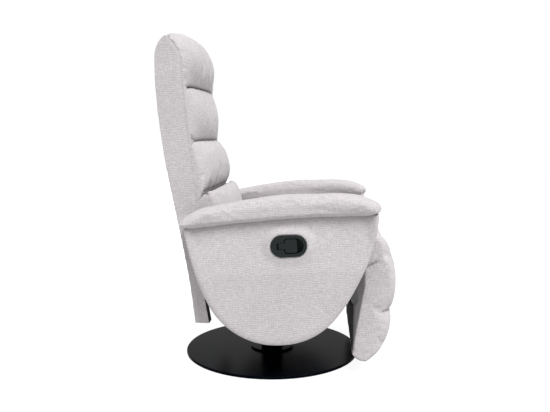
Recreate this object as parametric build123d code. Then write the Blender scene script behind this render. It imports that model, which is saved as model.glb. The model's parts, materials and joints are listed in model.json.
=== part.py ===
from build123d import *
from math import atan2, cos, degrees, hypot, radians, sin, sqrt
import os

# Swivel recliner on a round disc base, in millimetres.
# +Z is up, +X points to the sitter's feet and +Y to the sitter's left.
# The origin lies on the floor, on the swivel axis.

# ---------------------------------------------------------------- driving dimensions

# fits
pin_clearance = 0.05        # radial, round a turning pin
running_gap = 0.3           # between flat faces that move past each other
soft_gap = 0.4              # from a soft piece to what carries it
seam_gap = 1.0              # between two cushions of one body
knee_gap = 2.0              # from the knee roll to the seat cushion behind it
overcut = 1.0               # a cut runs this far past the surface it opens

# base
felt_thickness = 2.0
felt_margin = 6.0           # the felt stops this far inside the disc's edge
disc_radius = 300.0
disc_thickness = 8.0
disc_bevel = 2.5
column_radius = 38.0
column_wall = 4.0
column_height = 140.0       # from the disc to the top of the tube
flange_radius = 75.0
flange_thickness = 6.0
flange_bevel = 2.0
flange_screw_circle = 56.0
flange_screw_radius = 4.0
flange_screw_head_radius = 8.0
flange_screw_count = 4
flange_screw_set = 1.0      # the screws end this far below the flange's top
bushing_length = 32.0
bushing_rim = 4.0
washer_thickness = 3.0
washer_margin = 1.0
spindle_radius = 15.0
spindle_tail = 8.0          # below the lower bushing
spindle_bevel = 1.5
circlip_radius = 21.0
circlip_thickness = 3.0
circlip_groove = 1.5
circlip_mouth = 8.0

# chassis
swivel_plate_thickness = 8.0
swivel_plate_rear = -74.0
swivel_plate_front = 156.0
swivel_plate_half_width = 95.0
swivel_plate_corner = 16.0
tube_width = 40.0
tube_height = 30.0
tube_wall = 3.0
rear_tube_x = -45.0
front_tube_x = 125.0
chassis_bolt_y = 70.0
chassis_bolt_radius = 4.0
bolt_head_radius = 7.0
bolt_head_height = 5.0

# widths across the chair; the back sets them, and the stack beside it follows
back_half = 257.0
plate_thickness = 3.0       # brackets, links and side plates
friction_thickness = 1.7    # the washers at the recline pins
link_gap = 1.0              # between two plates that move past each other
arm_gap = 1.0               # from the side plates to the arms
pad_gap = 1.0               # from the footrest pads to their brackets
cushion_gap = 6.0           # from the seat cushion to the side plates
puff_inset = 3.0            # the puffs stop this far inside the back's sides
rail_inset = 6.0            # the seat rails stop this far inside the hinge brackets
board_inset = 9.0           # so does the footrest board
rail_width = 26.0

# linkage, in side view
knee_x = 300.0
knee_z = 390.0
tube_axis_x = 144.0
tube_axis_z = 300.0
crank_length = 75.0
crank_rest_angle = -130.0   # degrees from +X towards +Z
torque_tube_radius = 10.0
torque_tube_wall = 2.5
hinge_pin_radius = 6.0
link_pin_radius = 5.0
link_half_width = 8.0
eye_radius = 9.0
recline_x = -160.0
recline_z = 360.0
crank_stub_radius = 8.0     # the turned end of a crank, in the side plate
plate_boss_radius = 12.0
tube_boss_radius = 16.0
crank_boss_radius = 14.0
leg_foot_half = 32.0
leg_top_half = 36.0

# seat
seat_rail_low = 316.0
seat_rail_height = 30.0
seat_rail_rear = -118.0
seat_rail_front = 212.0
cross_rail_width = 26.0
spacer_places = (-70.0, 195.0)
spacer_radius = 7.0
seat_spring_count = 4
seat_spring_width = 42.0
seat_spring_bends = 6
seat_spring_wire = 4.0
seat_spring_spread = 100.0
seat_rear_x = -128.0
seat_rear_z = 452.0
seat_crown_z = 464.0
seat_crown = 8.0            # how far the middle stands above the sides
seat_draw = 18.0
seat_lip_share = 0.92       # how high the cushion's lip stands on the hollow's radius
knee_roll_radius = 77.0

# footrest
board_thickness = 12.0
board_rear_x = 272.0
board_low = 76.0
board_high = 346.0
board_corner = 20.0
lining_thickness = 2.0
footrest_low = 43.0
footrest_draw = 20.0
footrest_crown = 5.0
footrest_groove_x = 379.0
footrest_groove_z = 226.0
upper_bulge_x = 395.0
upper_bulge_z = 322.0
roll_start_rise = 6.0       # the knee roll begins this far above the board
lower_bulge = (382.0, 190.0)
lower_toe = (363.0, 107.0)
lower_ball = (342.0, 64.0)
sole_x = 312.0
heel_set = 14.0             # the curve under the heel, from the pad's rear face
heel_rise = 9.0
heel_lip = 4.0
bracket_tab_low = 236.0
bracket_tab_width = 44.0

# back
stile_width = 36.0
cover_thickness = 8.0
back_foot_z = 165.0
back_foot_rear = -224.0
back_foot_front = -178.0
wing_top_front = -213.0
wing_top_z = 372.0
puff_draw = 18.0            # how far a puff's ends are drawn in
groove_draw_share = 0.3     # of that draw, at the grooves between the puffs
puff_crown = 5.0
rail_height = 42.0
back_rail_places = ((-250.0, -220.0, 402.0), (-298.0, -250.0, 692.0), (-315.0, -267.0, 945.0))
back_bracket_low = (-220.0, 320.0)
back_bracket_high = (-238.0, 450.0)
back_bracket_half = 14.0
strap_width = 50.0
strap_thickness = 2.0
strap_spread = 105.0
strap_lap = 18.0
rear_places = ((-254.0, 375.0), (-298.0, 602.0), (-331.0, 823.0), (-339.0, 961.0), (-331.0, 1022.0))
frame_top = (-312.0, 1046.0)
seam_rear = ((-212.0, 398.0), (-214.0, 553.0), (-236.0, 722.0), (-254.0, 897.0))
seam_front = ((-160.0, 402.0), (-178.0, 592.0), (-222.0, 737.0), (-241.0, 901.0))
puff_bulge = ((-143.0, 503.0), (-189.0, 665.0), (-215.0, 812.0))
head_shoulder = (-257.0, 985.0)
head_bulge = (-228.0, 965.0)
head_brow = (-232.0, 1024.0)
head_slope = (-254.0, 1062.0)
head_top = (-288.0, 1075.0)
head_nape = (-308.0, 1066.0)

# arms
arm_width = 98.0
arm_inner_pad = 10.0
arm_outer_pad = 25.0
arm_board = 12.0
arm_rim = 34.0              # width of the timber round the frame's hollow
arm_hollow_high = 458.0
arm_inset = 3.0             # the frame stops this far inside the padded outline
arm_edge_width = 12.5       # the rounded edge of the outer padding
arm_edge_draw = 12.0
arm_pad_lap_inner = 4.0     # the pad on top stands out past the arm's inner face
arm_pad_lap_outer = 7.0     # and past its outer face
arm_pad_draw = 20.0
arm_top_front = (338.0, 526.0)
arm_top_middle = (50.0, 514.0)
arm_top_rear = (-238.0, 478.0)
panel_centre = (50.0, 454.0)
panel_rear_bulge = (-214.0, 366.0)
panel_rear_low = (-171.0, 259.0)
panel_heel = (-98.0, 171.0)
panel_bottom = (6.0, 130.0)
panel_toe = (120.0, 142.0)
panel_front_low = (222.0, 220.0)
panel_front_bulge = (296.0, 351.0)
panel_front_high = (335.0, 488.0)
pad_crest = ((-253.0, 486.0), (-215.0, 515.0), (-163.0, 533.0), (-5.0, 563.0), (151.0, 579.0),
             (262.0, 577.0), (330.0, 556.0), (345.0, 541.0))
arm_bolt_x = 45.0           # the upper bolt, level with the seat rails
arm_bolt_rise = 12.0        # the two lower bolts, above the cross tubes
arm_bolt_radius = 4.0
arm_bolt_depth = 22.0

# handle in the right arm; places along it are measured from the bezel's middle
handle_x = 76.0
handle_z = 431.0
handle_tilt = 3.0           # degrees, front end up
bezel_length = 107.0
bezel_height = 65.0
bezel_thickness = 3.0
bezel_bevel = 1.2
cup_rim = 5.0               # the cup's body stops this far inside the bezel's edge
cup_depth = 25.0            # as deep as the padding it sits in
cup_wall = 2.5
pocket_rim = 10.0           # width of the bezel round the pocket
pocket_rear = -13.5
pocket_corner = 9.0
paddle_pin_x = -27.0
paddle_pin_radius = 2.0
paddle_hub_radius = 4.5
paddle_stem_width = 18.0
stem_gap = 0.8              # between the stem and the channel it lies in
stem_slot = 3.5             # between the hub and the channel's rear end
paddle_blade_rear = -11.0
paddle_blade_front = 25.0
paddle_blade_height = 40.0
paddle_thickness = 6.0
paddle_corner = 7.0
paddle_bevel = 0.8
paddle_sink = 0.5           # its face lies this far inside the bezel's
hub_sink = 2.0              # and its pin this far below its middle
pin_seat = 3.0              # how far the pin's ends reach into the cup

# lock on the torque tube
lock_length = 32.0
lock_radius = 20.0
lever_thickness = 5.0
lever_ring = 17.0
lever_length = 46.0
lever_tip_radius = 7.0
cable_hole_radius = 2.0
lock_tab_thickness = 5.0
lock_tab_lift = 3.0         # from the torque tube to the tab's foot

# ---------------------------------------------------------------- places that follow

disc_low = felt_thickness
disc_high = disc_low + disc_thickness
flange_high = disc_high + flange_thickness
column_high = disc_high + column_height
washer_low = column_high + bushing_rim
washer_high = washer_low + washer_thickness
plate_low = washer_high + running_gap
plate_high = plate_low + swivel_plate_thickness
tubes_high = plate_high + tube_height
spindle_low = flange_high + spindle_tail + circlip_thickness
bore_radius = column_radius - column_wall

friction_y = back_half + plate_thickness + running_gap
side_y = friction_y + friction_thickness
side_outer = side_y + plate_thickness
link_y = side_y - link_gap - plate_thickness
bracket_y = link_y - link_gap - plate_thickness
footrest_pad_half = bracket_y - pad_gap
seat_cushion_half = side_y - cushion_gap
puff_half = back_half - puff_inset
rail_outer = bracket_y - rail_inset
rail_inner = rail_outer - rail_width
board_half = bracket_y - board_inset
arm_inner = side_outer + arm_gap
arm_outer = arm_inner + arm_width
arm_frame_inner = arm_inner + arm_inner_pad + soft_gap
arm_frame_outer = arm_outer - arm_outer_pad - soft_gap
arm_pad_inner = arm_inner - arm_pad_lap_inner
arm_pad_outer = arm_outer + arm_pad_lap_outer
lock_far = rail_inner - running_gap
lock_near = lock_far - lock_length

knee = (knee_x, knee_z)
tube_axis = (tube_axis_x, tube_axis_z)
recline = (recline_x, recline_z)
crank_offset = (crank_length * cos(radians(crank_rest_angle)), crank_length * sin(radians(crank_rest_angle)))
crank_eye = (tube_axis_x + crank_offset[0], tube_axis_z + crank_offset[1])
footrest_eye = (knee_x + crank_offset[0], knee_z + crank_offset[1])
seat_rail_high = seat_rail_low + seat_rail_height
seat_rail_middle = (seat_rail_low + seat_rail_high) / 2
seat_cushion_low = seat_rail_high + seat_spring_wire
arm_bolt_low = tubes_high + arm_bolt_rise
arm_bolt_places = ((arm_bolt_x, seat_rail_middle), (rear_tube_x, arm_bolt_low), (front_tube_x, arm_bolt_low))
board_front_x = board_rear_x + board_thickness
stile_inner = back_half - stile_width

paddle_face = arm_outer + bezel_thickness - paddle_sink
paddle_pin_depth = paddle_face - paddle_thickness / 2 - hub_sink
pocket_half_height = bezel_height / 2 - pocket_rim
pocket_end = bezel_length / 2 - pocket_rim - pocket_half_height
channel_half_height = paddle_stem_width / 2 + stem_gap
channel_rear = paddle_pin_x - paddle_hub_radius - stem_slot
channel_floor = paddle_pin_depth - paddle_hub_radius - running_gap
pin_half = channel_half_height + pin_seat

# a rounded edge in cross-section: shares of its width inwards, and of how far it is drawn in
pillow_profile = ((0.0, 1.0), (0.15, 0.62), (0.5, 0.33), (1.1, 0.12), (2.2, 0.0))
pad_profile = ((0.0, 1.0), (0.4, 0.4), (1.6, 0.0))
panel_profile = ((0.0, 1.0), (0.12, 0.54), (0.45, 0.15), (1.0, 0.0))

# ---------------------------------------------------------------- helpers


def upright(outline, y_low, y_high):
    """Stand a flat outline, drawn in X and Z, up between two places across the chair."""
    return extrude(Plane.XZ.offset(-y_low) * outline, amount=y_high - y_low, dir=(0, 1, 0))


def outline_face(*edges):
    """One face inside a closed chain of edges."""
    return make_face(Wire(list(edges)))


def chain(points):
    """Straight edges through a list of points."""
    return [Line(a, b) for a, b in zip(points, points[1:])]


def ring(outer, inner):
    """A flat ring."""
    return Circle(outer) - Circle(inner)


def capsule(start, end, radius):
    """A flat bar with round ends, from one hole centre to another."""
    length = hypot(end[0] - start[0], end[1] - start[1])
    angle = degrees(atan2(end[1] - start[1], end[0] - start[0]))
    middle = Pos((start[0] + end[0]) / 2, (start[1] + end[1]) / 2)
    return middle * Rot(0, 0, angle) * SlotCenterToCenter(length, 2 * radius)


def disc_at(place, radius):
    """A flat disc round a place in side view."""
    return Pos(*place) * Circle(radius)


def across(place, radius, y_low, y_high):
    """A round bar that lies across the chair."""
    return upright(disc_at(place, radius), y_low, y_high)


def standing(x, y, radius, z_low, z_high):
    """A round bar that stands upright."""
    return extrude(Plane.XY.offset(z_low) * Pos(x, y) * Circle(radius), amount=z_high - z_low)


def block(x_low, x_high, y_low, y_high, z_low, z_high):
    """A plain block between three pairs of places."""
    size = Box(x_high - x_low, y_high - y_low, z_high - z_low, align=(Align.MIN, Align.MIN, Align.MIN))
    return Pos(x_low, y_low, z_low) * size


def both_sides(left):
    """The left piece and its mirror image on the right."""
    return left, mirror(left, about=Plane.XZ)


def group(*pieces):
    """Separate solids under one name."""
    return Compound([solid for piece in pieces for solid in piece.solids()])


def padded(outline, stations):
    """A stuffed form, lofted through one outline drawn in by a set amount at each place across."""
    return loft([Plane.XZ.offset(-y) * outline(draw) for y, draw in stations], ruled=True)


def pillow_stations(half_width, draw, crown):
    """Places across a cushion: full in the middle, drawn in towards both ends."""
    side = [(half_width - inward * draw, share * draw) for inward, share in pillow_profile]
    side += [(0.5 * half_width, -0.75 * crown), (0.2 * half_width, -crown)]
    return [(-y, drawn) for y, drawn in side] + side[::-1]


def arm_top(x):
    """Height of the arms' top line: the shallow arc through its three places."""
    (ax, az), (bx, bz), (cx, cz) = arm_top_rear, arm_top_middle, arm_top_front
    twice = 2 * (ax * (bz - cz) + bx * (cz - az) + cx * (az - bz))
    a, b, c = ax ** 2 + az ** 2, bx ** 2 + bz ** 2, cx ** 2 + cz ** 2
    centre_x = (a * (bz - cz) + b * (cz - az) + c * (az - bz)) / twice
    centre_z = (a * (cx - bx) + b * (ax - cx) + c * (bx - ax)) / twice
    radius = hypot(ax - centre_x, az - centre_z)
    return centre_z + sqrt(radius ** 2 - (x - centre_x) ** 2)


def toward(point, centre, distance):
    """A point moved towards a centre."""
    length = hypot(centre[0] - point[0], centre[1] - point[1])
    share = distance / length
    return (point[0] + share * (centre[0] - point[0]), point[1] + share * (centre[1] - point[1]))


def on_knee_circle(radius, z, side):
    """Where a circle round the knee pin crosses a height, behind it (-1) or before it (1)."""
    return (knee_x + side * sqrt(radius ** 2 - (z - knee_z) ** 2), z)


# ---------------------------------------------------------------- base


def base_pieces():
    """Felt, steel disc, column, its screws, bushings and the thrust washer."""
    felt = standing(0, 0, disc_radius - felt_margin, 0, felt_thickness)
    disc = standing(0, 0, disc_radius, disc_low, disc_high)
    disc = chamfer(disc.edges().sort_by(Axis.Z)[-1], disc_bevel)
    column = extrude(Plane.XY.offset(disc_high) * ring(flange_radius, bore_radius), amount=flange_thickness)
    rim = column.edges().filter_by(GeomType.CIRCLE).group_by(Axis.Z)[-1].sort_by(SortBy.RADIUS)[-1]
    column = chamfer(rim, flange_bevel)
    column += extrude(Plane.XY.offset(disc_high) * ring(column_radius, bore_radius), amount=column_height)
    sink = flange_screw_head_radius - flange_screw_radius
    screws = []
    for index in range(flange_screw_count):
        angle = radians(45 + 360 * index / flange_screw_count)
        x = flange_screw_circle * cos(angle)
        y = flange_screw_circle * sin(angle)
        head = Pos(x, y, disc_low) * Cone(flange_screw_head_radius, flange_screw_radius, sink,
                                          align=(Align.CENTER, Align.CENTER, Align.MIN))
        screw = head + standing(x, y, flange_screw_radius, disc_low + sink,
                                 flange_high - flange_screw_set)
        screws.append(screw)
        hole = flange_screw_radius + pin_clearance
        disc -= standing(x, y, hole, disc_low, disc_high)
        disc -= Pos(x, y, disc_low) * Cone(flange_screw_head_radius + pin_clearance, hole, sink,
                                           align=(Align.CENTER, Align.CENTER, Align.MIN))
        column -= standing(x, y, hole, disc_high, flange_high)
    sleeve = ring(bore_radius - pin_clearance, spindle_radius + pin_clearance)
    lower = extrude(Plane.XY.offset(spindle_low + spindle_tail) * sleeve, amount=bushing_length)
    upper = extrude(Plane.XY.offset(column_high - bushing_length) * sleeve, amount=bushing_length)
    upper += extrude(Plane.XY.offset(column_high) * ring(column_radius, spindle_radius + pin_clearance),
                     amount=bushing_rim)
    washer_face = ring(column_radius - washer_margin, spindle_radius + pin_clearance)
    washer = extrude(Plane.XY.offset(washer_low) * washer_face, amount=washer_thickness)
    return {
        "base_felt": felt,
        "base_disc": disc,
        "base_column": column,
        "column_screws": group(*screws),
        "column_bushings": group(lower, upper),
        "thrust_washer": washer,
    }


# ---------------------------------------------------------------- chassis


def chassis_pieces():
    """Spindle, circlip, swivel plate, the two cross tubes and their bolts."""
    clip_low = spindle_low + spindle_tail - running_gap - circlip_thickness
    spindle = standing(0, 0, spindle_radius, spindle_low, plate_low)
    spindle = chamfer(spindle.edges().sort_by(Axis.Z)[0], spindle_bevel)
    groove = ring(spindle_radius + overcut, spindle_radius - circlip_groove)
    spindle -= extrude(Plane.XY.offset(clip_low) * groove, amount=circlip_thickness)
    clip = ring(circlip_radius, spindle_radius - circlip_groove + pin_clearance)
    clip -= Pos(circlip_radius, 0) * Rectangle(2 * circlip_radius, circlip_mouth)
    circlip = extrude(Plane.XY.offset(clip_low + pin_clearance) * clip,
                      amount=circlip_thickness - 2 * pin_clearance)
    plate_length = swivel_plate_front - swivel_plate_rear
    plate_face = Pos((swivel_plate_front + swivel_plate_rear) / 2, 0) * RectangleRounded(
        plate_length, 2 * swivel_plate_half_width, swivel_plate_corner)
    plate = extrude(Plane.XY.offset(plate_low) * plate_face, amount=swivel_plate_thickness)
    section = Rectangle(tube_width, tube_height)
    section -= Rectangle(tube_width - 2 * tube_wall, tube_height - 2 * tube_wall)
    middle_z = plate_high + tube_height / 2
    tubes = {x: upright(Pos(x, middle_z) * section, -side_y, side_y) for x in (rear_tube_x, front_tube_x)}
    bolts = []
    for x in tubes:
        for y in (-chassis_bolt_y, chassis_bolt_y):
            hole = standing(x, y, chassis_bolt_radius + pin_clearance, plate_low, tubes_high)
            tubes[x] -= hole
            plate -= hole
            bolt = standing(x, y, chassis_bolt_radius, plate_low, tubes_high)
            bolt += extrude(Plane.XY.offset(tubes_high) * Pos(x, y) * RegularPolygon(bolt_head_radius, 6),
                            amount=bolt_head_height)
            bolts.append(bolt)
    return {
        "spindle": spindle,
        "spindle_circlip": circlip,
        "swivel_plate": plate,
        "rear_cross_tube": tubes[rear_tube_x],
        "front_cross_tube": tubes[front_tube_x],
        "chassis_bolts": group(*bolts),
    }


def side_plate_face():
    """The pressed side plate in side view: a band from the recline pin to the knee pin on two legs."""
    rear = (spacer_places[0], seat_rail_middle)
    front = (spacer_places[-1], seat_rail_middle)
    face = capsule(recline, rear, plate_boss_radius) + capsule(rear, front, plate_boss_radius)
    face += capsule(front, knee, plate_boss_radius)
    face += capsule(tube_axis, (tube_axis_x, seat_rail_middle), tube_boss_radius)
    for x in (rear_tube_x, front_tube_x):
        leg = Polyline((x - leg_foot_half, plate_high), (x + leg_foot_half, plate_high),
                       (x + leg_top_half, seat_rail_middle), (x - leg_top_half, seat_rail_middle),
                       close=True)
        face += make_face(leg)
    face -= disc_at(knee, hinge_pin_radius + pin_clearance)
    face -= disc_at(recline, hinge_pin_radius + pin_clearance)
    face -= disc_at(tube_axis, crank_stub_radius + pin_clearance)
    for place in arm_bolt_places:
        face -= disc_at(place, arm_bolt_radius + pin_clearance)
    return face


def mechanism_pieces():
    """Side plates, hinge pins, friction washers, rail spacers and the bolts that hold the arms."""
    left, right = both_sides(upright(side_plate_face(), side_y, side_outer))
    pins = []
    for place in (knee, recline):
        pins += both_sides(across(place, hinge_pin_radius, bracket_y, side_outer + arm_gap / 2))
    friction = Pos(*recline) * ring(plate_boss_radius, hinge_pin_radius + pin_clearance)
    washers = both_sides(upright(friction, friction_y, side_y))
    spacers = []
    for x in spacer_places:
        spacers += both_sides(across((x, seat_rail_middle), spacer_radius, rail_outer, side_y))
    bolts = []
    for place in arm_bolt_places:
        head = Pos(*place) * RegularPolygon(bolt_head_radius, 6)
        bolt = upright(head, side_y - bolt_head_height, side_y)
        bolt += across(place, arm_bolt_radius, side_y, arm_frame_inner + arm_bolt_depth)
        bolts += both_sides(bolt)
    return {
        "side_plate_left": left,
        "side_plate_right": right,
        "hinge_pins": group(*pins),
        "friction_washers": group(*washers),
        "rail_spacers": group(*spacers),
        "arm_bolts": group(*bolts),
    }


# ---------------------------------------------------------------- seat


def sinuous_spring(y):
    """A flat zigzag spring that runs from the rear rail to the front rail."""
    start = seat_rail_rear + cross_rail_width / 2
    pitch = (seat_rail_front - seat_rail_rear - cross_rail_width) / seat_spring_bends
    points = [(start, y)]
    for bend in range(seat_spring_bends):
        side = seat_spring_width / 2 * (-1) ** bend
        points.append((start + (bend + 0.25) * pitch, y + side))
        points.append((start + (bend + 0.75) * pitch, y + side))
    points.append((start + seat_spring_bends * pitch, y))
    path = FilletPolyline(*points, radius=0.2 * pitch)
    return extrude(Plane.XY.offset(seat_rail_high) * trace(path, seat_spring_wire), amount=seat_spring_wire)


def seat_cushion_outline(draw):
    """Side view of the seat cushion, hollow in front where the knee roll turns."""
    clear = knee_roll_radius + knee_gap
    edge_draw = max(draw, 0.0)
    low = seat_cushion_low + soft_gap
    front_low = on_knee_circle(clear, low, -1)
    front_high = on_knee_circle(clear, knee_z + seat_lip_share * clear - edge_draw, -1)
    hollow = on_knee_circle(clear, knee_z, -1)
    crest = ((front_high[0] + seat_rear_x) / 2, seat_crown_z - draw)
    rear_high = (seat_rear_x, seat_rear_z - edge_draw)
    return outline_face(Line((seat_rear_x, low), front_low), ThreePointArc(front_low, hollow, front_high),
                        ThreePointArc(front_high, crest, rear_high), Line(rear_high, (seat_rear_x, low)))


def seat_pieces():
    """Rails, springs and the cushion."""
    left, right = both_sides(block(seat_rail_rear, seat_rail_front, rail_inner, rail_outer,
                                   seat_rail_low, seat_rail_high))
    front = block(seat_rail_front - cross_rail_width, seat_rail_front, -rail_inner, rail_inner,
                  seat_rail_low, seat_rail_high)
    rear = block(seat_rail_rear, seat_rail_rear + cross_rail_width, -rail_inner, rail_inner,
                 seat_rail_low, seat_rail_high)
    first = -seat_spring_spread * (seat_spring_count - 1) / 2
    springs = [sinuous_spring(first + index * seat_spring_spread) for index in range(seat_spring_count)]
    cushion = padded(seat_cushion_outline, pillow_stations(seat_cushion_half, seat_draw, seat_crown))
    return {
        "seat_rail_left": left,
        "seat_rail_right": right,
        "seat_rail_front": front,
        "seat_rail_rear": rear,
        "seat_springs": group(*springs),
        "seat_cushion": cushion,
    }


# ---------------------------------------------------------------- footrest and its drive


def drive_pieces():
    """The torque tube, its two cranks with their link pins, and the two push links."""
    tube = upright(Pos(*tube_axis) * ring(torque_tube_radius, torque_tube_radius - torque_tube_wall),
                   -bracket_y, bracket_y)
    crank = capsule(tube_axis, crank_eye, eye_radius) + disc_at(tube_axis, crank_boss_radius)
    crank = upright(crank, bracket_y, bracket_y + plate_thickness)
    crank += across(crank_eye, link_pin_radius, bracket_y + plate_thickness, link_y + plate_thickness)
    crank += across(tube_axis, crank_stub_radius, bracket_y + plate_thickness, side_outer)
    link = capsule(crank_eye, footrest_eye, link_half_width)
    for eye in (crank_eye, footrest_eye):
        link += disc_at(eye, eye_radius)
        link -= disc_at(eye, link_pin_radius + pin_clearance)
    return {
        "torque_tube": tube,
        "drive_cranks": group(*both_sides(crank)),
        "push_links": group(*both_sides(upright(link, link_y, link_y + plate_thickness))),
    }


def upper_pad_outline(draw):
    """The knee roll and the upper puff before the board, in side view."""
    roll = knee_roll_radius - max(draw, 0.0)
    board_top = (board_front_x + soft_gap, board_high + soft_gap)
    start = on_knee_circle(roll, board_high + roll_start_rise, -1)
    top = (knee_x, knee_z + roll)
    brow = (knee_x + roll, knee_z)
    groove = (footrest_groove_x - draw, footrest_groove_z + seam_gap / 2)
    bulge = (upper_bulge_x - draw, upper_bulge_z)
    inner = (board_front_x + soft_gap, footrest_groove_z + seam_gap / 2)
    return outline_face(ThreePointArc(start, on_knee_circle(roll, knee_z + 0.7 * roll, -1), top),
                        ThreePointArc(top, on_knee_circle(roll, knee_z + 0.7 * roll, 1), brow),
                        ThreePointArc(brow, bulge, groove), Line(groove, inner), Line(inner, board_top),
                        Line(board_top, start))


def lower_pad_outline(draw):
    """The lower puff, which wraps under the board's end."""
    seam = footrest_groove_z - seam_gap / 2
    inner = board_front_x + soft_gap
    under = board_low - soft_gap
    rear = board_rear_x - lining_thickness - soft_gap
    low = footrest_low + 0.5 * draw
    groove = (footrest_groove_x - draw, seam)
    bulge, toe, ball = [(x - draw, z) for x, z in (lower_bulge, lower_toe, lower_ball)]
    heel = (rear, under - heel_lip)
    return outline_face(Line((inner, seam), groove), ThreePointArc(groove, bulge, toe),
                        ThreePointArc(toe, ball, (sole_x, low)),
                        ThreePointArc((sole_x, low), (rear + heel_set, low + heel_rise), heel),
                        Line(heel, (rear, under)), Line((rear, under), (inner, under)),
                        Line((inner, under), (inner, seam)))


def footrest_bracket():
    """Left hinge bracket: a plate beside the pad with a tab screwed behind the board."""
    tab_rear = board_rear_x - lining_thickness - plate_thickness
    low_place = (tab_rear + eye_radius, bracket_tab_low + eye_radius)
    face = capsule(knee, footrest_eye, plate_boss_radius) + capsule(footrest_eye, low_place, eye_radius)
    face -= disc_at(knee, hinge_pin_radius + pin_clearance)
    plate = upright(face, bracket_y, bracket_y + plate_thickness)
    tab = block(tab_rear, tab_rear + plate_thickness, bracket_y - bracket_tab_width,
                bracket_y + plate_thickness, bracket_tab_low, footrest_eye[1] - eye_radius)
    pin = across(footrest_eye, link_pin_radius, bracket_y + plate_thickness, link_y + plate_thickness)
    return plate + tab + pin


def footrest_pieces():
    """Board, lining, hinge brackets and the two pads."""
    board = block(board_rear_x, board_front_x, -board_half, board_half, board_low, board_high)
    board = fillet(board.edges().filter_by(Axis.X), board_corner)
    lining_rear = board_rear_x - lining_thickness
    lining = block(lining_rear, board_rear_x, -board_half, board_half, board_low, board_high)
    lining = fillet(lining.edges().filter_by(Axis.X), board_corner)
    left, right = both_sides(footrest_bracket())
    upper = padded(upper_pad_outline, pillow_stations(footrest_pad_half, footrest_draw, footrest_crown))
    lower = padded(lower_pad_outline, pillow_stations(footrest_pad_half, footrest_draw, footrest_crown))
    return {
        "footrest_board": board,
        "footrest_lining": lining,
        "footrest_bracket_left": left,
        "footrest_bracket_right": right,
        "footrest_upper_pad": upper,
        "footrest_lower_pad": lower,
    }


# ---------------------------------------------------------------- back


def rear_curve(inset):
    """The back's rear line in side view, moved forward by an inset."""
    places = [(back_foot_rear, back_foot_z), *rear_places, frame_top]
    return Spline(*[(x + inset, z) for x, z in places])


def stile_outline():
    """Side view of one stile, from the foot of its wing to the top of the frame."""
    rear = rear_curve(cover_thickness + soft_gap)
    foot_front = (back_foot_front - lining_thickness, back_foot_z)
    wing_top = (wing_top_front - lining_thickness, wing_top_z)
    front = [rear @ 0, foot_front, wing_top, *seam_rear, head_shoulder, rear @ 1]
    return outline_face(rear, *chain(front))


def cover_outline():
    """Side view of the padded cover over the whole rear of the frame."""
    outer = rear_curve(0)
    inner = rear_curve(cover_thickness)
    return outline_face(outer, Line(outer @ 1, inner @ 1), inner, Line(inner @ 0, outer @ 0))


def puff_outline(index):
    """Outline maker for one of the three lower puffs, counted from the bottom."""
    def outline(draw):
        gap = seam_gap / 2
        low_rear = (seam_rear[index][0] + soft_gap, seam_rear[index][1] + gap)
        high_rear = (seam_rear[index + 1][0] + soft_gap, seam_rear[index + 1][1] - gap)
        low_front = (seam_front[index][0] - groove_draw_share * draw, seam_front[index][1] + gap)
        high_front = (seam_front[index + 1][0] - groove_draw_share * draw, seam_front[index + 1][1] - gap)
        bulge = (puff_bulge[index][0] - draw, puff_bulge[index][1])
        return outline_face(Line(low_rear, low_front), ThreePointArc(low_front, bulge, high_front),
                            Line(high_front, high_rear), Line(high_rear, low_rear))
    return outline


def head_outline(draw):
    """Side view of the head puff, which rolls over the top of the frame."""
    gap = seam_gap / 2
    low_rear = (seam_rear[-1][0] + soft_gap, seam_rear[-1][1] + gap)
    low_front = (seam_front[-1][0] - groove_draw_share * draw, seam_front[-1][1] + gap)
    shoulder = (head_shoulder[0] + soft_gap, head_shoulder[1])
    rear_top = (frame_top[0], frame_top[1] + soft_gap)
    stile_top = (rear_top[0] + cover_thickness + 2 * soft_gap, rear_top[1])
    brow = (head_brow[0] - draw, head_brow[1] - 0.5 * draw)
    slope = (head_slope[0] - 0.7 * draw, head_slope[1] - 0.8 * draw)
    crest = (head_top[0], head_top[1] - draw)
    nape = (head_nape[0] + 0.15 * draw, head_nape[1] - 0.6 * draw)
    return outline_face(Line(low_rear, low_front),
                        ThreePointArc(low_front, (head_bulge[0] - draw, head_bulge[1]), brow),
                        ThreePointArc(brow, slope, crest), ThreePointArc(crest, nape, rear_top),
                        Line(rear_top, stile_top),
                        Line(stile_top, shoulder), Line(shoulder, low_rear))


def back_rail(rear_x, front_x, low):
    """A rail between the two stiles."""
    return block(rear_x, front_x, -stile_inner, stile_inner, low, low + rail_height)


def back_strap(low_rail, high_rail, y):
    """A webbing strap tacked to the front of two rails and stretched between them."""
    low, high = low_rail.bounding_box(), high_rail.bounding_box()
    run = [(low.max.X, low.max.Z - strap_lap), (low.max.X, low.max.Z), (high.max.X, high.min.Z),
           (high.max.X, high.min.Z + strap_lap)]
    band = run + [(x + strap_thickness, z) for x, z in run[::-1]]
    return upright(make_face(Polyline(*band, close=True)), y - strap_width / 2, y + strap_width / 2)


def back_bracket():
    """Left hinge bracket: a plate screwed to the stile, with the eye of the recline pin."""
    face = capsule(recline, (back_bracket_low[0], recline_z), tube_boss_radius)
    face += capsule(back_bracket_low, back_bracket_high, back_bracket_half)
    face -= disc_at(recline, hinge_pin_radius + pin_clearance)
    return upright(face, back_half, back_half + plate_thickness)


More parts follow.
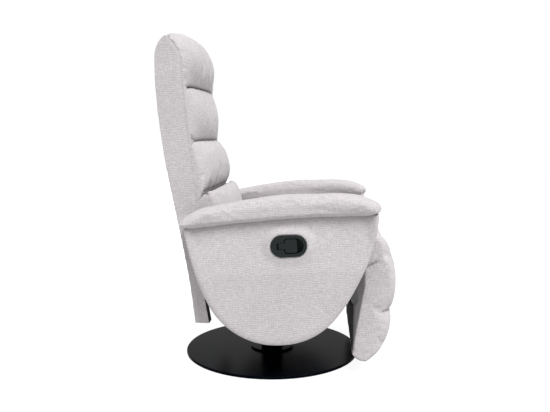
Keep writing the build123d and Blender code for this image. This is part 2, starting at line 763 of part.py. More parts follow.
def back_pieces():
    """Stiles, rails, straps, rear cover, wing linings, brackets and the four puffs."""
    stile_left, stile_right = both_sides(upright(stile_outline(), stile_inner, back_half))
    cover = upright(cover_outline(), -back_half, back_half)
    lining = Polyline((back_foot_front - lining_thickness, back_foot_z), (back_foot_front, back_foot_z),
                      (wing_top_front, wing_top_z), (wing_top_front - lining_thickness, wing_top_z),
                      close=True)
    linings = both_sides(upright(make_face(lining), stile_inner, back_half))
    bracket_left, bracket_right = both_sides(back_bracket())
    low_rail, middle_rail, top_rail = [back_rail(*place) for place in back_rail_places]
    straps = []
    for low, high in ((low_rail, middle_rail), (middle_rail, top_rail)):
        for y in (-strap_spread, 0, strap_spread):
            straps.append(back_strap(low, high, y))
    stations = pillow_stations(puff_half, puff_draw, puff_crown)
    return {
        "back_stile_left": stile_left,
        "back_stile_right": stile_right,
        "back_rail_low": low_rail,
        "back_rail_middle": middle_rail,
        "back_rail_top": top_rail,
        "back_straps": group(*straps),
        "back_cover": cover,
        "wing_linings": group(*linings),
        "back_brackets": group(bracket_left, bracket_right),
        "lumbar_puff": padded(puff_outline(0), stations),
        "middle_puff": padded(puff_outline(1), stations),
        "upper_puff": padded(puff_outline(2), stations),
        "head_puff": padded(head_outline, stations),
    }


# ---------------------------------------------------------------- arms


def panel_outline(inset):
    """The half-moon of an arm in side view, drawn in by an inset below its top line."""
    below = (panel_rear_bulge, panel_rear_low, panel_heel, panel_bottom, panel_toe, panel_front_low,
             panel_front_bulge, panel_front_high)
    moved = [toward(point, panel_centre, inset) for point in below]
    front, top, rear = [(x, arm_top(x) - soft_gap) for x in (
        arm_top_front[0] - inset, arm_top_middle[0], arm_top_rear[0] + inset)]
    starts, bulges = [rear, *moved[1::2]], moved[0::2]
    arcs = [ThreePointArc(*points) for points in zip(starts, bulges, moved[1::2])]
    return outline_face(*arcs, Line(moved[-1], front), ThreePointArc(front, top, rear))


def arm_pad_outline(draw):
    """Side view of the pad on top of an arm."""
    fullest = max(z - arm_top(x) for x, z in pad_crest)
    rear, rise, slope, middle, crown, brow, nose_top, nose = [
        (x, z - draw * (z - arm_top(x)) / fullest) for x, z in pad_crest]
    rear, rise = [(x + draw, z) for x, z in (rear, rise)]
    nose, nose_top = [(x - draw, z) for x, z in (nose, nose_top)]
    low_rear, low_front = [(x, arm_top(x)) for x in (arm_top_rear[0] + draw, arm_top_front[0] - draw)]
    return outline_face(ThreePointArc(rear, rise, slope), ThreePointArc(slope, middle, crown),
                        ThreePointArc(crown, brow, nose_top), ThreePointArc(nose_top, nose, low_front),
                        ThreePointArc(low_front, arm_top_middle, low_rear), Line(low_rear, rear))


def arm_frame(inner, outer):
    """A hollow timber box with the arm's outline."""
    body = upright(panel_outline(arm_inset), inner, outer)
    hollow = upright(panel_outline(arm_inset + arm_rim), inner + arm_board, outer - arm_board)
    hollow &= block(arm_top_rear[0], arm_top_front[0], inner, outer, 0, arm_hollow_high)
    body -= hollow
    for place in arm_bolt_places:
        body -= across(place, arm_bolt_radius + pin_clearance, inner, inner + arm_bolt_depth)
    return body


def arm_pieces():
    """Frames, inner and outer padding and the pads on top."""
    inner_pad = upright(panel_outline(0), arm_inner, arm_inner + arm_inner_pad)
    for place in arm_bolt_places:
        inner_pad -= across(place, arm_bolt_radius + soft_gap, arm_inner, arm_inner + arm_inner_pad)
    rim = arm_outer - arm_outer_pad
    edge = [(arm_outer - inward * arm_edge_width, share * arm_edge_draw) for inward, share in panel_profile]
    outer_pad = padded(panel_outline, [(rim, 0)] + edge[::-1])
    reach = [(inward * arm_pad_draw, share * arm_pad_draw) for inward, share in pad_profile]
    pad = padded(arm_pad_outline, [(arm_pad_inner + inward, drawn) for inward, drawn in reach]
                 + [(arm_pad_outer - inward, drawn) for inward, drawn in reach[::-1]])
    frame_left, frame_right = both_sides(arm_frame(arm_frame_inner, arm_frame_outer))
    inner_left, inner_right = both_sides(inner_pad)
    outer_left, outer_right = both_sides(outer_pad)
    pad_left, pad_right = both_sides(pad)
    return {
        "arm_frame_left": frame_left,
        "arm_frame_right": frame_right,
        "arm_inner_pad_left": inner_left,
        "arm_inner_pad_right": inner_right,
        "arm_outer_pad_left": outer_left,
        "arm_outer_pad_right": outer_right - handle_body(soft_gap, arm_outer + overcut, rim - overcut),
        "arm_pad_left": pad_left,
        "arm_pad_right": pad_right,
    }


# ---------------------------------------------------------------- handle


def in_handle(sketch):
    """Turn a flat sketch, drawn from the bezel's middle, into its place in side view."""
    return Pos(handle_x, handle_z) * Rot(0, 0, handle_tilt) * sketch


def right_side(sketch, far, near):
    """Stand a handle sketch up in the right arm, from a far to a near place from the middle plane."""
    return upright(in_handle(sketch), -far, -near)


def handle_body(spare, far, near):
    """The round-ended body of the handle cup, with some room to spare."""
    sketch = SlotOverall(bezel_length - 2 * cup_rim + 2 * spare, bezel_height - 2 * cup_rim + 2 * spare)
    return right_side(sketch, far, near)


def pin_bar(radius, half_length):
    """An upright round bar on the paddle's pin axis."""
    pin = Pos(paddle_pin_x, -paddle_pin_depth, 0) * Cylinder(radius, 2 * half_length)
    return Pos(handle_x, 0, handle_z) * Rot(0, -handle_tilt, 0) * pin


def pocket_mouth(spare):
    """The pocket round the blade: a half-round end before it and small corners behind it."""
    half = pocket_half_height + spare
    rear = pocket_rear - spare
    mouth = Pos((rear + pocket_end) / 2, 0) * Rectangle(pocket_end - rear, 2 * half)
    mouth = fillet(mouth.vertices().group_by(Axis.X)[0], pocket_corner + spare)
    return mouth + Pos(pocket_end, 0) * Circle(half)


def handle_pieces():
    """The cup with its bezel, the paddle and its pin."""
    face = arm_outer + bezel_thickness
    rear = arm_outer - cup_depth
    bezel = right_side(SlotOverall(bezel_length, bezel_height), face, arm_outer)
    bezel = chamfer(bezel.faces().sort_by(Axis.Y)[0].edges(), bezel_bevel)
    cup = bezel + handle_body(0, arm_outer, rear)
    cup -= right_side(pocket_mouth(0), face, rear + cup_wall)
    channel_length = pocket_rear - channel_rear
    channel = Pos(channel_rear + channel_length / 2, 0) * Rectangle(channel_length, 2 * channel_half_height)
    cup -= right_side(channel, face, channel_floor)
    core = SlotOverall(bezel_length - 2 * cup_rim - 2 * cup_wall, bezel_height - 2 * cup_rim - 2 * cup_wall)
    cup -= right_side(core - pocket_mouth(cup_wall), channel_floor - cup_wall, rear)
    cup -= pin_bar(paddle_pin_radius + pin_clearance, pin_half + pin_clearance)
    stem_length = paddle_blade_rear - paddle_pin_x + paddle_corner
    stem = Pos(paddle_pin_x + stem_length / 2, 0) * Rectangle(stem_length, paddle_stem_width)
    blade_length = paddle_blade_front - paddle_blade_rear
    blade = Pos((paddle_blade_front + paddle_blade_rear) / 2, 0) * RectangleRounded(
        blade_length, paddle_blade_height, paddle_corner)
    paddle = right_side(stem + blade, paddle_face, paddle_face - paddle_thickness)
    paddle = chamfer(paddle.faces().sort_by(Axis.Y)[0].edges(), paddle_bevel)
    paddle += pin_bar(paddle_hub_radius, paddle_stem_width / 2)
    paddle -= pin_bar(paddle_pin_radius + pin_clearance, paddle_stem_width)
    return {
        "handle_cup": cup,
        "handle_paddle": paddle,
        "paddle_pin": pin_bar(paddle_pin_radius, pin_half),
    }


def lock_pieces():
    """The wrap-spring lock on the torque tube and its release lever."""
    tube_hole = torque_tube_radius + running_gap
    housing = upright(Pos(*tube_axis) * ring(lock_radius, tube_hole), -lock_far, -lock_near)
    housing += block(tube_axis_x - lock_radius, tube_axis_x + lock_radius, -rail_inner,
                     -rail_inner + lock_tab_thickness, tube_axis_z + torque_tube_radius + lock_tab_lift,
                     seat_rail_high)
    lever_far = lock_near - running_gap
    tip = (tube_axis_x, tube_axis_z - lever_length)
    lever = disc_at(tube_axis, lever_ring) + capsule(tube_axis, tip, lever_tip_radius)
    lever -= disc_at(tube_axis, tube_hole)
    lever -= disc_at(tip, cable_hole_radius)
    return {
        "lock_housing": housing,
        "lock_lever": upright(lever, -lever_far, -lever_far + lever_thickness),
    }


# ---------------------------------------------------------------- write every piece

nodes = {}
for make in (base_pieces, chassis_pieces, mechanism_pieces, seat_pieces, drive_pieces, footrest_pieces,
             back_pieces, arm_pieces, handle_pieces, lock_pieces):
    nodes.update(make())

os.makedirs("parts", exist_ok=True)
for name, shape in nodes.items():
    export_step(shape, f"parts/{name}.step")
    print(name, len(shape.solids()), round(shape.volume / 1000, 1))
print(len(nodes), "pieces")
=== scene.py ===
# %% [markdown]
# A swivel recliner on a round disc. Everything that is soft is made here: each cushion starts as a copy
# of its CAD solid, is given a skin of even faces, is blown up a little as cloth and is then sewn. So it
# sits where the solid sits.

# %% Frame
import json
import math

import bmesh
import bpy
import numpy as np
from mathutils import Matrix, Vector, noise


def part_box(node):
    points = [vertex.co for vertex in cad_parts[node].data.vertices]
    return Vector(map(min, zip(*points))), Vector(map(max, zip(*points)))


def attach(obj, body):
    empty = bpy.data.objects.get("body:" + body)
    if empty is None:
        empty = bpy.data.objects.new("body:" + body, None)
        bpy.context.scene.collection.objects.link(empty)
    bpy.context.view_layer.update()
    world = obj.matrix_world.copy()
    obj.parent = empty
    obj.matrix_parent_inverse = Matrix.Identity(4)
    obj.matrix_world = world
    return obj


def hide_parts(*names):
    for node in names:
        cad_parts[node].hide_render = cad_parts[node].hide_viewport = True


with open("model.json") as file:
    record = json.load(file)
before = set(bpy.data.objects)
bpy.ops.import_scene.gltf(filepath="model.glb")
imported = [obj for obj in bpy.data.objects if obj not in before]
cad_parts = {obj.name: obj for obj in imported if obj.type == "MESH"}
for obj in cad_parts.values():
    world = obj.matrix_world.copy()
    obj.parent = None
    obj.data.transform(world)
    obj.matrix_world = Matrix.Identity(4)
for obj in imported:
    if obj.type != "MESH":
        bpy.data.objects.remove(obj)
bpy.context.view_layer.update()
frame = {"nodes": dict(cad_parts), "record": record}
nodes = frame["nodes"]

# %% [markdown]
# The camera stands at the sitter's right, 2.2 m away and a little above the arms, and looks slightly
# down. Its place was worked out from the round disc, whose outline gives the angle, and from the arms.

# %% Camera
scene = bpy.context.scene
lens = bpy.data.cameras.new("studio_camera")
lens.lens = 41.654
lens.sensor_width = 36
camera = bpy.data.objects.new("studio_camera", lens)
camera.location = (0.1681, -2.1881, 0.7484)
camera.rotation_euler = [math.radians(turn) for turn in (83.7559, 0, 4.1336)]
scene.collection.objects.link(camera)
scene.camera = camera
print("camera", tuple(camera.location))

# %% [markdown]
# A photographer's light tent: white all round, so shadows are pale, and one broad lamp high up on the
# camera's side, which lifts what faces up and lets the arm pads throw a soft band of shade below them.
# The lamp is a sun with a wide disc, because its light doesn't fade along the paper floor. The paper
# glows a little, as on a light table. The standard view keeps white paper-white, where the default
# view would turn it grey.

# %% Light tent and floor
scene.view_settings.view_transform = "Standard"
tent = bpy.data.worlds.new("light_tent")
tent.use_nodes = True
tent.node_tree.nodes["Background"].inputs["Color"].default_value = (1, 1, 1, 1)
tent.node_tree.nodes["Background"].inputs["Strength"].default_value = 1.0
scene.world = tent

broad_light = bpy.data.lights.new("broad_lamp", "SUN")
broad_light.energy = 4.5
broad_light.angle = math.radians(34)
broad_lamp = bpy.data.objects.new("broad_lamp", broad_light)
broad_lamp.rotation_euler = Vector((0.30, -0.47, 0.83)).to_track_quat("Z", "Y").to_euler()
scene.collection.objects.link(broad_lamp)
print("lamp", broad_light.energy)

ground = bmesh.new()
bmesh.ops.create_grid(ground, x_segments=1, y_segments=1, size=12)
floor_mesh = bpy.data.meshes.new("studio_floor")
ground.to_mesh(floor_mesh)
ground.free()
studio_floor = bpy.data.objects.new("studio_floor", floor_mesh)
scene.collection.objects.link(studio_floor)

# %% [markdown]
# Shader maths reads best as a formula. A Wire stands for one output of a node, and adding or
# multiplying Wires adds Math nodes. A Finish is one material: its node() method takes a node's type,
# its settings, and the values or Wires of its sockets.

# %% Shader language


class Wire:
    """One output of a node, used in expressions."""

    def __init__(self, finish, socket):
        self.finish = finish
        self.socket = socket

    def maths(self, operation, *values):
        return self.finish.node("Math", {"operation": operation}, dict(enumerate(values)))

    def __add__(self, other):
        return self.maths("ADD", self, other)

    def __sub__(self, other):
        return self.maths("SUBTRACT", self, other)

    def __mul__(self, other):
        return self.maths("MULTIPLY", self, other)

    def __truediv__(self, other):
        return self.maths("DIVIDE", self, other)

    def __pow__(self, other):
        return self.maths("POWER", self, other)

    def __rsub__(self, other):
        return self.maths("SUBTRACT", other, self)

    __radd__ = __add__
    __rmul__ = __mul__

    def __abs__(self):
        return self.maths("ABSOLUTE", self)

    def sine(self):
        return self.maths("SINE", self)

    def between(self, low, high):
        """0 below low, 1 above high and a smooth step between them."""
        return self.finish.node("MapRange", {"interpolation_type": "SMOOTHSTEP"},
                                {"Value": self, "From Min": low, "From Max": high})


class Finish:
    """One procedural material, built node by node."""

    def __init__(self, name, **constants):
        self.material = bpy.data.materials.new(name)
        self.material.use_nodes = True
        self.tree = self.material.node_tree
        self.shader = self.tree.nodes["Principled BSDF"]
        for socket, value in constants.items():
            self.shader.inputs[socket.replace("_", " ")].default_value = value
        self.place = self.node("TexCoord", {}, {}, "Object")

    def node(self, kind, settings, inputs, output=0):
        made = self.tree.nodes.new("ShaderNode" + kind)
        for name, value in settings.items():
            setattr(made, name, value)
        for key, value in inputs.items():
            if isinstance(value, Wire):
                self.tree.links.new(value.socket, made.inputs[key])
            else:
                made.inputs[key].default_value = value
        return Wire(self, made.outputs[output])

    def axes(self, vector):
        """The three numbers of a vector as Wires."""
        split = self.node("SeparateXYZ", {}, {0: vector}).socket.node
        return [Wire(self, socket) for socket in split.outputs]

    def point(self, x, y, z):
        return self.node("CombineXYZ", {}, {0: x, 1: y, 2: z})

    def grain(self, place, scale, detail):
        """Noise from 0 to 1 at a place."""
        return self.node("TexNoise", {}, {"Vector": place, "Scale": scale, "Detail": detail}, "Fac")

    def mix(self, share, first, second):
        """A colour between two colours."""
        inputs = {0: share, 6: first, 7: second}
        inputs = {key: (*value, 1) if isinstance(value, tuple) else value for key, value in inputs.items()}
        return self.node("Mix", {"data_type": "RGBA"}, inputs, 2)

    def bump(self, height, depth):
        """Relief of a depth in metres for a height from 0 to 1."""
        return self.node("Bump", {}, {"Height": height, "Distance": depth, "Strength": 1.0}, "Normal")

    def wear(self, **sockets):
        """Puts Wires on the shader's own sockets and gives the material."""
        for name, wire in sockets.items():
            self.tree.links.new(wire.socket, self.shader.inputs[name.replace("_", " ")])
        return self.material


# %% [markdown]
# The cover cloth is a coarse plain weave of light warm grey yarn with thicker places, called slubs,
# along the weft. A weave could be an image, but an image needs a UV map, and a padded skin has none.
# So the pattern is worked out from the place in space, once for each of three directions, and the
# way the surface faces says which of the three shows. Painted shade along sewn lines and grooves comes from
# an attribute of the mesh.

# %% Upholstery cloth
yarn_pair = 0.0058          # two rows of weft, in metres
warp_pitch = 0.0087         # the warp shows as broader ribs
slub_rate = (55.0, 400.0)   # along and across the weft: slubs are 10 to 25 mm long and under 3 mm high
relief = 0.0007
pale_yarn, dark_yarn = (0.423, 0.401, 0.410), (0.236, 0.221, 0.226)


def weave(finish, weft_way, warp_way, shift, drift):
    """Height of the cloth, from about 0 to 1, where the weft runs along the first way. The rows wander
    with the drift, as they do in a loose weave."""
    slubs = finish.grain(finish.point(weft_way * slub_rate[0], warp_way * slub_rate[1], shift), 1.0, 1.0)
    cross = finish.grain(finish.point(weft_way * slub_rate[1], warp_way * slub_rate[0], shift + 5), 1.0, 1.0)
    rows = (warp_way * (2 * math.pi / yarn_pair) + slubs * 6.0 + drift * 13.0).sine()
    columns = (weft_way * (2 * math.pi / warp_pitch) + cross * 6.0 - drift * 16.0).sine()
    return (rows * 0.14 + columns * 0.06 + rows * columns * 0.06 + 0.25
            + slubs.between(0.3, 0.7) * 0.28 + cross.between(0.3, 0.7) * 0.22)


def cover_cloth(name, light, dark):
    """The upholstery finish; shade is painted along seams and grooves where the mesh says so."""
    cloth = Finish(name, Roughness=0.92, Sheen_Weight=0.12, Sheen_Roughness=0.6, Specular_IOR_Level=0.2)
    x, y, z = cloth.axes(cloth.place)
    facing = cloth.axes(cloth.node("TexCoord", {}, {}, "Normal"))
    to_front, to_side, to_top = [abs(way) ** 5.0 for way in facing]
    total = to_front + to_side + to_top
    drift = cloth.grain(cloth.place, 48.0, 1.0)
    height = (weave(cloth, y, z, 0.0, drift) * to_front + weave(cloth, x, z, 10.0, drift) * to_side
              + weave(cloth, x, y, 20.0, drift) * to_top) / total
    patches = cloth.grain(cloth.place, 9.0, 3.0)
    seam = cloth.node("Attribute", {"attribute_name": "seam"}, {}, "Fac")
    yarn = cloth.mix(height, dark, light)
    yarn = cloth.mix(patches.between(0.3, 0.7) * 0.10, yarn, tuple(0.9 * c for c in dark))
    # Painted shade: along sewn lines and grooves the yarn is darkened towards a third of its dark tone.
    with_painted_shade = cloth.mix(seam * 0.85, yarn, tuple(0.35 * c for c in dark))
    return cloth.wear(Base_Color=with_painted_shade, Normal=cloth.bump(height, relief))


upholstery = cover_cloth("upholstery_cloth", pale_yarn, dark_yarn)
print("cloth", len(upholstery.node_tree.nodes), "nodes")

# %% [markdown]
# The hard finishes. Each has the small unevenness of the real one: powder coat has a fine orange-peel
# skin, zinc and drawn wire have streaks, plywood has grain, moulded plastic is etched to a fine grain.

# %% Hard finishes


def powder_coat(name, dark, pale, roughness, specular):
    coat = Finish(name, Specular_IOR_Level=specular)
    skin = coat.grain(coat.place, 900.0, 2.0)
    rub = coat.grain(coat.place, 14.0, 4.0).between(0.45, 0.75)
    return coat.wear(Base_Color=coat.mix(rub * 0.6 + skin * 0.2, dark, pale),
                     Roughness=roughness + skin * 0.04 + rub * 0.04, Normal=coat.bump(skin, 0.00004))


def bare_metal(name, dark, pale, roughness):
    metal = Finish(name, Metallic=1.0)
    x, y, z = metal.axes(metal.place)
    streaks = metal.grain(metal.point(x * 40.0, y * 40.0, z * 700.0), 1.0, 3.0)
    return metal.wear(Base_Color=metal.mix(streaks, dark, pale), Roughness=roughness + streaks * 0.18,
                      Normal=metal.bump(streaks, 0.00005))


def plain_cloth(name, dark, pale, pitch):
    cloth = Finish(name, Roughness=0.95, Specular_IOR_Level=0.15)
    x, y, z = cloth.axes(cloth.place)
    turn = 2 * math.pi / pitch
    rows = ((x + z) * turn).sine() * ((y + z) * turn).sine() * 0.5 + 0.5
    fuzz = cloth.grain(cloth.place, 500.0, 2.0)
    height = rows * 0.6 + fuzz * 0.4
    return cloth.wear(Base_Color=cloth.mix(height, dark, pale), Normal=cloth.bump(height, 0.0003))


def bare_timber():
    wood = Finish("bare_timber", Specular_IOR_Level=0.3)
    x, y, z = wood.axes(wood.place)
    drift = wood.grain(wood.place, 6.0, 2.0)
    rings = (wood.grain(wood.point(x * 6.0, y * 45.0, z * 10.0), 1.0, 4.0) * 26.0 + drift * 5.0).sine()
    pores = wood.grain(wood.point(x * 60.0, y * 900.0, z * 900.0), 1.0, 2.0)
    tone = rings * 0.25 + 0.4 + pores * 0.3
    return wood.wear(Base_Color=wood.mix(tone, (0.46, 0.31, 0.17), (0.72, 0.56, 0.37)),
                     Roughness=0.62 + pores * 0.2, Normal=wood.bump(pores, 0.0002))


def moulded(name, dark, pale, roughness, scale, specular):
    plastic = Finish(name, Specular_IOR_Level=specular)
    etched = plastic.grain(plastic.place, scale, 2.0)
    haze = plastic.grain(plastic.place, 30.0, 3.0)
    return plastic.wear(Base_Color=plastic.mix(haze, dark, pale), Roughness=roughness + etched * 0.16,
                        Normal=plastic.bump(etched, 0.00008))


finishes = {
    "upholstery": upholstery,
    "black_lining": plain_cloth("black_lining", (0.010, 0.010, 0.011), (0.035, 0.035, 0.038), 0.0014),
    "webbing": plain_cloth("elastic_webbing", (0.03, 0.03, 0.03), (0.13, 0.13, 0.12), 0.0030),
    "floor_felt": plain_cloth("floor_felt", (0.02, 0.02, 0.02), (0.07, 0.07, 0.07), 0.0022),
    "disc_enamel": powder_coat("disc_powder_coat", (0.0004, 0.0009, 0.0022), (0.0008, 0.0016, 0.0034),
                               0.20, 0.016),
    "mechanism_steel": powder_coat("mechanism_black", (0.018, 0.018, 0.019), (0.05, 0.05, 0.052), 0.45, 0.4),
    "bright_steel": bare_metal("zinc_plate", (0.42, 0.43, 0.45), (0.62, 0.62, 0.63), 0.22),
    "spring_steel": bare_metal("drawn_wire", (0.16, 0.16, 0.17), (0.34, 0.34, 0.35), 0.30),
    "nylon": moulded("natural_nylon", (0.70, 0.68, 0.62), (0.82, 0.80, 0.75), 0.35, 400.0, 0.5),
    "timber": bare_timber(),
    "handle_plastic": moulded("handle_plastic", (0.004, 0.006, 0.006), (0.009, 0.012, 0.012),
                              0.42, 1500.0, 0.16),
}
paper = Finish("studio_paper", Roughness=0.9, Specular_IOR_Level=0.0)
fibres = paper.grain(paper.place, 40.0, 3.0)
paper.shader.inputs["Emission Color"].default_value = (1, 1, 1, 1)
paper.shader.inputs["Emission Strength"].default_value = 0.88
paper_tone = paper.mix(fibres, (0.19, 0.19, 0.19), (0.21, 0.21, 0.21))
studio_floor.data.materials.append(paper.wear(Base_Color=paper_tone))

slot_of = {part["node"]: part["material_slot"] for part in frame["record"]["subparts"]}
for name, node in nodes.items():
    node.data.materials.clear()
    node.data.materials.append(finishes[slot_of[name]])
print("finishes", {slot: sum(s == slot for s in slot_of.values()) for slot in finishes})

# %% [markdown]
# Padded work starts here. On the real chair each cushion is foam and wadding in a sewn cover. Here a
# copy of the CAD solid gets a skin of square faces all of one size by a voxel remesh, because cloth
# moves evenly only on an even net. The CAD mesh itself is left alone: only the copy is welded.

# %% Skins


def replace_mesh(piece, mesh):
    old = piece.data
    piece.data = mesh
    bpy.data.meshes.remove(old)


def bake_modifiers(piece):
    """Applies what modifiers make of a piece to its mesh."""
    seen = piece.evaluated_get(bpy.context.evaluated_depsgraph_get())
    mesh = bpy.data.meshes.new_from_object(seen)
    piece.modifiers.clear()
    replace_mesh(piece, mesh)


def outer_shell(mesh):
    """Keeps the largest of the shells, so the hollow of a box frame leaves no inner skin."""
    work = bmesh.new()
    work.from_mesh(mesh)
    left, shells = set(work.verts), []
    while left:
        shell, edge = set(), [left.pop()]
        while edge:
            vert = edge.pop()
            shell.add(vert)
            for link in vert.link_edges:
                other = link.other_vert(vert)
                if other in left:
                    left.remove(other)
                    edge.append(other)
        shells.append(shell)
    shells.sort(key=len)
    bmesh.ops.delete(work, geom=[v for shell in shells[:-1] for v in shell], context="VERTS")
    work.to_mesh(mesh)
    work.free()


def skin(name, parts, voxel, rounds=3):
    """A net of even faces round copies of CAD nodes. parts maps each node to how far it is let out, in
    metres: one number all round, or three for how far its box grows each way along X, Y and Z."""
    work = bmesh.new()
    for node, grow in parts.items():
        one = bmesh.new()
        one.from_mesh(nodes[node].data)
        bmesh.ops.remove_doubles(one, verts=one.verts, dist=1e-5)
        one.normal_update()
        if isinstance(grow, tuple):
            low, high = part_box(node)
            middle, size = (low + high) / 2, high - low
            bmesh.ops.translate(one, verts=one.verts, vec=-middle)
            bmesh.ops.scale(one, verts=one.verts, vec=[1 + 2 * g / s for g, s in zip(grow, size)])
            bmesh.ops.translate(one, verts=one.verts, vec=middle)
        else:
            for vert in one.verts:
                vert.co += vert.normal * grow * vert.calc_shell_factor()
        spare = bpy.data.meshes.new("spare")
        one.to_mesh(spare)
        one.free()
        work.from_mesh(spare)
        bpy.data.meshes.remove(spare)
    mesh = bpy.data.meshes.new(name)
    work.to_mesh(mesh)
    work.free()
    piece = bpy.data.objects.new(name, mesh)
    scene.collection.objects.link(piece)
    even = piece.modifiers.new("even", "REMESH")
    even.mode = "VOXEL"
    even.voxel_size = voxel
    bake_modifiers(piece)
    outer_shell(piece.data)
    relax(piece, rounds)
    return piece


def places(piece):
    flat = np.zeros(len(piece.data.vertices) * 3)
    piece.data.vertices.foreach_get("co", flat)
    return flat.reshape(-1, 3)


def normals(piece):
    flat = np.zeros(len(piece.data.vertices) * 3)
    piece.data.vertices.foreach_get("normal", flat)
    return flat.reshape(-1, 3)


def put(piece, where):
    piece.data.vertices.foreach_set("co", where.ravel())
    piece.data.update()


def relax(piece, rounds):
    """Smooths a net."""
    work = bmesh.new()
    work.from_mesh(piece.data)
    for _ in range(rounds):
        bmesh.ops.smooth_vert(work, verts=work.verts, factor=0.5, use_axis_x=True, use_axis_y=True,
                              use_axis_z=True)
    work.to_mesh(piece.data)
    work.free()


def bell(values, middle, width):
    """1 at the middle, fading to both sides."""
    return np.exp(-((values - middle) / width) ** 2)


def ramp(values, low, high):
    """0 below low, 1 above high, smooth between; low may be the greater."""
    share = np.clip((values - low) / (high - low), 0, 1)
    return share * share * (3 - 2 * share)


def refine(piece):
    """One level of subdivision, applied."""
    finer = piece.modifiers.new("finer", "SUBSURF")
    finer.levels = finer.render_levels = 1
    bake_modifiers(piece)
    for polygon in piece.data.polygons:
        polygon.use_smooth = True


# %% [markdown]
# Filling. Blown up as cloth, a skin crowns between its seams and finds its own shallow folds, which a
# formula would only imitate. The recipe: pressure 4, no gravity, twenty frames, and a cap on how far
# any point may go, so that the cushion keeps to the room its solid has.

# %% Filling
spare_cloth = 0.02      # the cover is cut this much larger than the foam


def fill(piece, cap, held):
    """Blows a skin up as cloth, but moves no point further than the cap. held gives, for each place, how
    firmly the cloth is held, 0 to 1."""
    rest = places(piece)
    cloth = piece.modifiers.new("cloth", "CLOTH")
    settings = cloth.settings
    settings.quality = 4
    settings.mass = 0.3
    settings.tension_stiffness = settings.compression_stiffness = 18
    settings.bending_stiffness = 0.6
    settings.shrink_min = -spare_cloth
    settings.use_pressure = True
    settings.uniform_pressure_force = 4
    settings.effector_weights.gravity = 0
    group = piece.vertex_groups.new(name="held")
    for index, grip in enumerate(np.clip(held(rest), 0, 1)):
        if grip > 0.01:
            group.add([index], float(grip), "REPLACE")
    settings.vertex_group_mass = "held"
    for number in range(1, 21):
        scene.frame_set(number)
    bake_modifiers(piece)
    moved = places(piece) - rest
    far = np.linalg.norm(moved, axis=1, keepdims=True)
    put(piece, rest + moved * np.minimum(1, cap / np.maximum(far, 1e-9)))
    scene.frame_set(1)
    print("filled", piece.name, "mean", round(float(far.mean()) * 1000, 1), "mm")


# %% [markdown]
# Sewing. A seam pulls the cover in along a line and gathers the cloth beside it. Each seam is a line
# of points in space: every point of the skin asks how far it is from that line, sinks by a bell
# curve of that distance, and stores the same bell as an attribute that paints shade into the cloth.

# %% Sewing


def line_points(corners, step=0.002):
    """Points every 2 mm along a line of corners."""
    corners = np.array(corners, float)
    found = []
    for start, end in zip(corners[:-1], corners[1:]):
        count = max(2, int(np.linalg.norm(end - start) / step))
        found.append(start + (end - start) * np.linspace(0, 1, count)[:, None])
    return np.concatenate(found)


def distance_to(where, points):
    """How far each place is from a cloud of points."""
    near = np.full(len(where), 9.0)
    for start in range(0, len(where), 4000):
        part = where[start:start + 4000]
        near[start:start + 4000] = np.sqrt(((part[:, None] - points[None]) ** 2).sum(2).min(1))
    return near


def shade(piece, amount):
    """Paints shade on a piece: marks it darker, where it isn't marked darker already."""
    painted_shade = piece.data.attributes.get("seam") or piece.data.attributes.new("seam", "FLOAT", "POINT")
    old = np.zeros(len(amount), np.float32)
    painted_shade.data.foreach_get("value", old)
    painted_shade.data.foreach_set("value", np.maximum(old, amount).astype(np.float32))


def sew(piece, corners, width, depth, painted_shade=1.0):
    """Pulls the cover in along a line and paints shade along it."""
    where = places(piece)
    near = distance_to(where, line_points(corners))
    put(piece, where - normals(piece) * (depth * np.exp(-(near / width) ** 2))[:, None])
    shade(piece, painted_shade * np.exp(-(near / (0.55 * width)) ** 2))


def gather(piece, corners, reach, height, pitch, way):
    """Small folds beside a seam, that fade within a reach. They repeat every pitch along one way."""
    where = places(piece)
    near = distance_to(where, line_points(corners))
    lift = np.zeros(len(where))
    for index in np.flatnonzero(near < 3 * reach):
        x, y, z = where[index]
        along = where[index] @ np.array(way) / pitch
        lift[index] = noise.noise(Vector((along, x * 9, y * 9 + z * 3)))
    lift *= height * np.exp(-(near / reach) ** 2)
    put(piece, where + normals(piece) * lift[:, None])


def crumple(piece, height, size, seed):
    """The slow unevenness of cloth over wadding."""
    where = places(piece)
    lift = np.array([noise.noise(Vector(p) / size + Vector((seed, 0, 0))) for p in where])
    put(piece, where + normals(piece) * (lift * height)[:, None])


def upholster(piece, body, replaced):
    """Finishes a soft piece: cloth, body, and the nodes it stands for."""
    piece.data.materials.clear()
    piece.data.materials.append(upholstery)
    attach(piece, body)
    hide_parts(*replaced)
    print(piece.name, len(piece.data.polygons), "faces")


# %% [markdown]
# The four puffs of the back. Each is a foam roll in its own channel of the cover, so it is held along
# its seams above and below and swells forward between them. Its ends round off, and there the seams
# hang a little. The side of the cover runs on behind a faint upright seam.

# %% Back puffs
seam_rear = [(-0.212, 0.398), (-0.214, 0.553), (-0.236, 0.722), (-0.254, 0.897)]
head_rear = [(-0.257, 0.985), (-0.300, 1.050)]
seam_droop = ((0.42, 0.57, 0.73, 0.89, 1.02), (0.0, 0.010, 0.010, 0.014, 0.0))
neck_lift, neck_tilt = 0.006, 0.005     # the groove under the head is higher, and more so at the left
puff_half = 0.2570
puff_voxel, puff_cap, puff_spare = 0.006, 0.010, 0.014
puff_front = {"lumbar": (0.010, 0.008), "middle": (0.018, 0.003), "upper": (0.026, -0.0025),
              "head": (0.026, -0.003)}  # how far the ends go back, and the middle comes out


def held_at_rear(low, high):
    """Grip for a puff: full on its rear face, none in front."""
    def grip(where):
        slope = (high[0] - low[0]) / (high[1] - low[1])
        rear = low[0] + slope * (where[:, 2] - low[1])
        return 1 - (where[:, 0] - rear) / 0.02
    return grip


